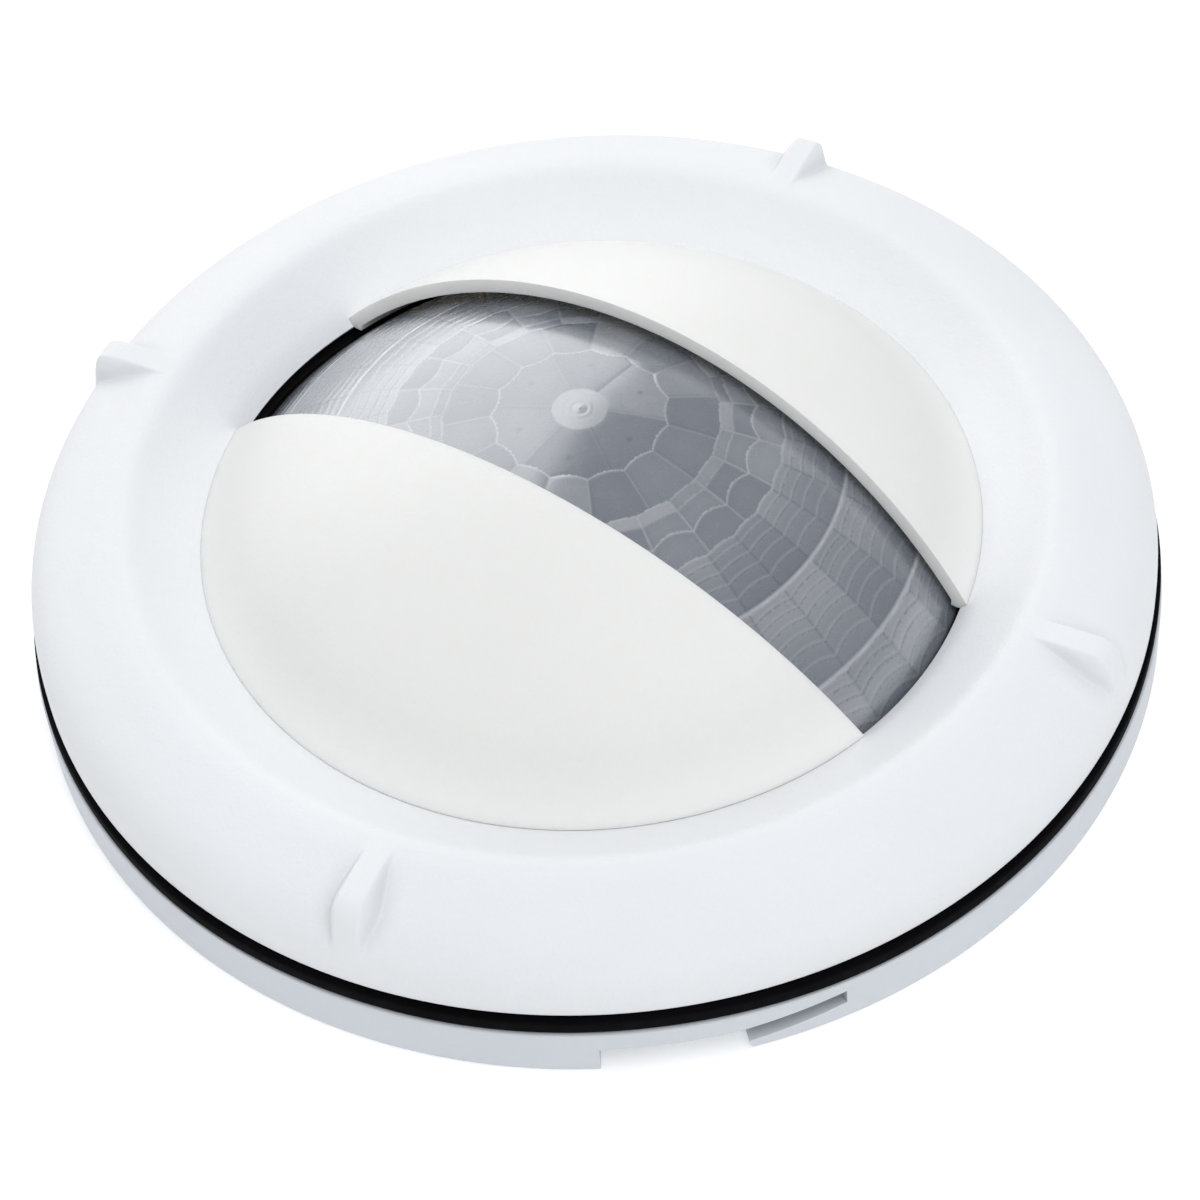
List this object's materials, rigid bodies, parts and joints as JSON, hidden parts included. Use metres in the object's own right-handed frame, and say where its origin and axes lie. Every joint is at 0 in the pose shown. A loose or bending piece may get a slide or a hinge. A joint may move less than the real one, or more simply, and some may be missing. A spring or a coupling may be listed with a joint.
{
  "type": "motion sensor",
  "caption": "Round white twist-lock PIR motion sensor head with an aisle mask over its Fresnel dome, grip ribs and a black rim gasket.",
  "frame": {"origin": "centre of the plane of the collar's bottom edge, on the axis of the dome", "axes": "+Z along the dome's axis, out of the lens; +X to the right and +Y away from the viewer as the head lies on its collar"},
  "size_m": [0.086, 0.086, 0.0227],
  "materials": {
    "bezel_plastic": "fine matte texture",
    "mask_plastic": "satin, fine texture",
    "rear_plastic": "fine matte texture",
    "gasket_rubber": "matte",
    "lens_plastic": "milky, moulded facets",
    "inner_plastic": "matte",
    "board_laminate": "solder-mask gloss",
    "black_plastic": "matte",
    "screw_steel": "zinc plated",
    "can_metal": "tinned",
    "contact_gold": "plated",
    "ir_filter": "polished",
    "led_red": "clear tinted",
    "sensor_clear": "clear",
    "dip_blue": "matte",
    "white_control": "satin",
    "capacitor_aluminium": "satin",
    "label_foil": "satin foil, blank"
  },
  "bodies": {
    "housing": {"bezel": "bezel_plastic", "rear_housing": "rear_plastic", "rim_gasket": "gasket_rubber", "carrier_retainer": "inner_plastic", "circuit_board": "board_laminate", "controller_chip": "black_plastic", "amplifier_chip": "black_plastic", "regulator": "black_plastic", "relay": "black_plastic", "tamper_switch": "black_plastic", "time_dial_base": "black_plastic", "lux_dial_base": "black_plastic", "range_dial_base": "black_plastic", "contact_block": "black_plastic", "housing_screw_1": "screw_steel", "housing_screw_2": "screw_steel", "housing_screw_3": "screw_steel", "board_screw_1": "screw_steel", "board_screw_2": "screw_steel", "board_screw_3": "screw_steel", "tamper_spring": "screw_steel", "detector_can": "can_metal", "crystal": "can_metal", "contact_barrel_1": "contact_gold", "contact_barrel_2": "contact_gold", "contact_barrel_3": "contact_gold", "contact_barrel_4": "contact_gold", "detector_window": "ir_filter", "status_led": "led_red", "light_sensor": "sensor_clear", "dip_switch": "dip_blue", "detector_spacer": "white_control", "capacitor_1": "capacitor_aluminium", "capacitor_2": "capacitor_aluminium", "rating_label": "label_foil"},
    "lens_turret": {"fresnel_lens": "lens_plastic", "mask_lobe_near": "mask_plastic", "mask_lobe_far": "mask_plastic", "lens_carrier": "black_plastic"},
    "time_dial": {"time_dial": "white_control"},
    "lux_dial": {"lux_dial": "white_control"},
    "range_dial": {"range_dial": "white_control"},
    "tamper_plunger": {"tamper_plunger": "white_control"},
    "dip_slider_1": {"dip_slider_1": "white_control"},
    "contact_pin_1": {"contact_pin_1": "contact_gold"},
    "dip_slider_2": {"dip_slider_2": "white_control"},
    "contact_pin_2": {"contact_pin_2": "contact_gold"},
    "dip_slider_3": {"dip_slider_3": "white_control"},
    "contact_pin_3": {"contact_pin_3": "contact_gold"},
    "dip_slider_4": {"dip_slider_4": "white_control"},
    "contact_pin_4": {"contact_pin_4": "contact_gold"}
  },
  "joints": [
    {"name": "turret_turn", "type": "hinge", "parent": "housing", "child": "lens_turret", "pos_m": [0, 0, 0.006], "axis": [0, 0, 1], "range_deg": [-90, 90]},
    {"name": "time_dial_turn", "type": "hinge", "parent": "housing", "child": "time_dial", "pos_m": [-0.013, -0.007, 0.002], "axis": [0, 0, -1], "range_deg": [-135, 135]},
    {"name": "lux_dial_turn", "type": "hinge", "parent": "housing", "child": "lux_dial", "pos_m": [0.013, -0.007, 0.002], "axis": [0, 0, -1], "range_deg": [-135, 135]},
    {"name": "range_dial_turn", "type": "hinge", "parent": "housing", "child": "range_dial", "pos_m": [0.013, 0.005, 0.002], "axis": [0, 0, -1], "range_deg": [-135, 135]},
    {"name": "dip_1_slide", "type": "slide", "parent": "housing", "child": "dip_slider_1", "axis": [0, 1, 0], "range_m": [0, 0.0017]},
    {"name": "dip_2_slide", "type": "slide", "parent": "housing", "child": "dip_slider_2", "axis": [0, 1, 0], "range_m": [0, 0.0017]},
    {"name": "dip_3_slide", "type": "slide", "parent": "housing", "child": "dip_slider_3", "axis": [0, 1, 0], "range_m": [0, 0.0017]},
    {"name": "dip_4_slide", "type": "slide", "parent": "housing", "child": "dip_slider_4", "axis": [0, 1, 0], "range_m": [0, 0.0017]},
    {"name": "tamper_press", "type": "slide", "parent": "housing", "child": "tamper_plunger", "axis": [0, 0, 1], "range_m": [0, 0.0015], "stiffness_N_per_m": 250, "deforming": ["tamper_spring"]},
    {"name": "contact_1_press", "type": "slide", "parent": "housing", "child": "contact_pin_1", "axis": [0, 0, 1], "range_m": [0, 0.0011], "stiffness_N_per_m": 300},
    {"name": "contact_2_press", "type": "slide", "parent": "housing", "child": "contact_pin_2", "axis": [0, 0, 1], "range_m": [0, 0.0011], "stiffness_N_per_m": 300},
    {"name": "contact_3_press", "type": "slide", "parent": "housing", "child": "contact_pin_3", "axis": [0, 0, 1], "range_m": [0, 0.0011], "stiffness_N_per_m": 300},
    {"name": "contact_4_press", "type": "slide", "parent": "housing", "child": "contact_pin_4", "axis": [0, 0, 1], "range_m": [0, 0.0011], "stiffness_N_per_m": 300}
  ]
}
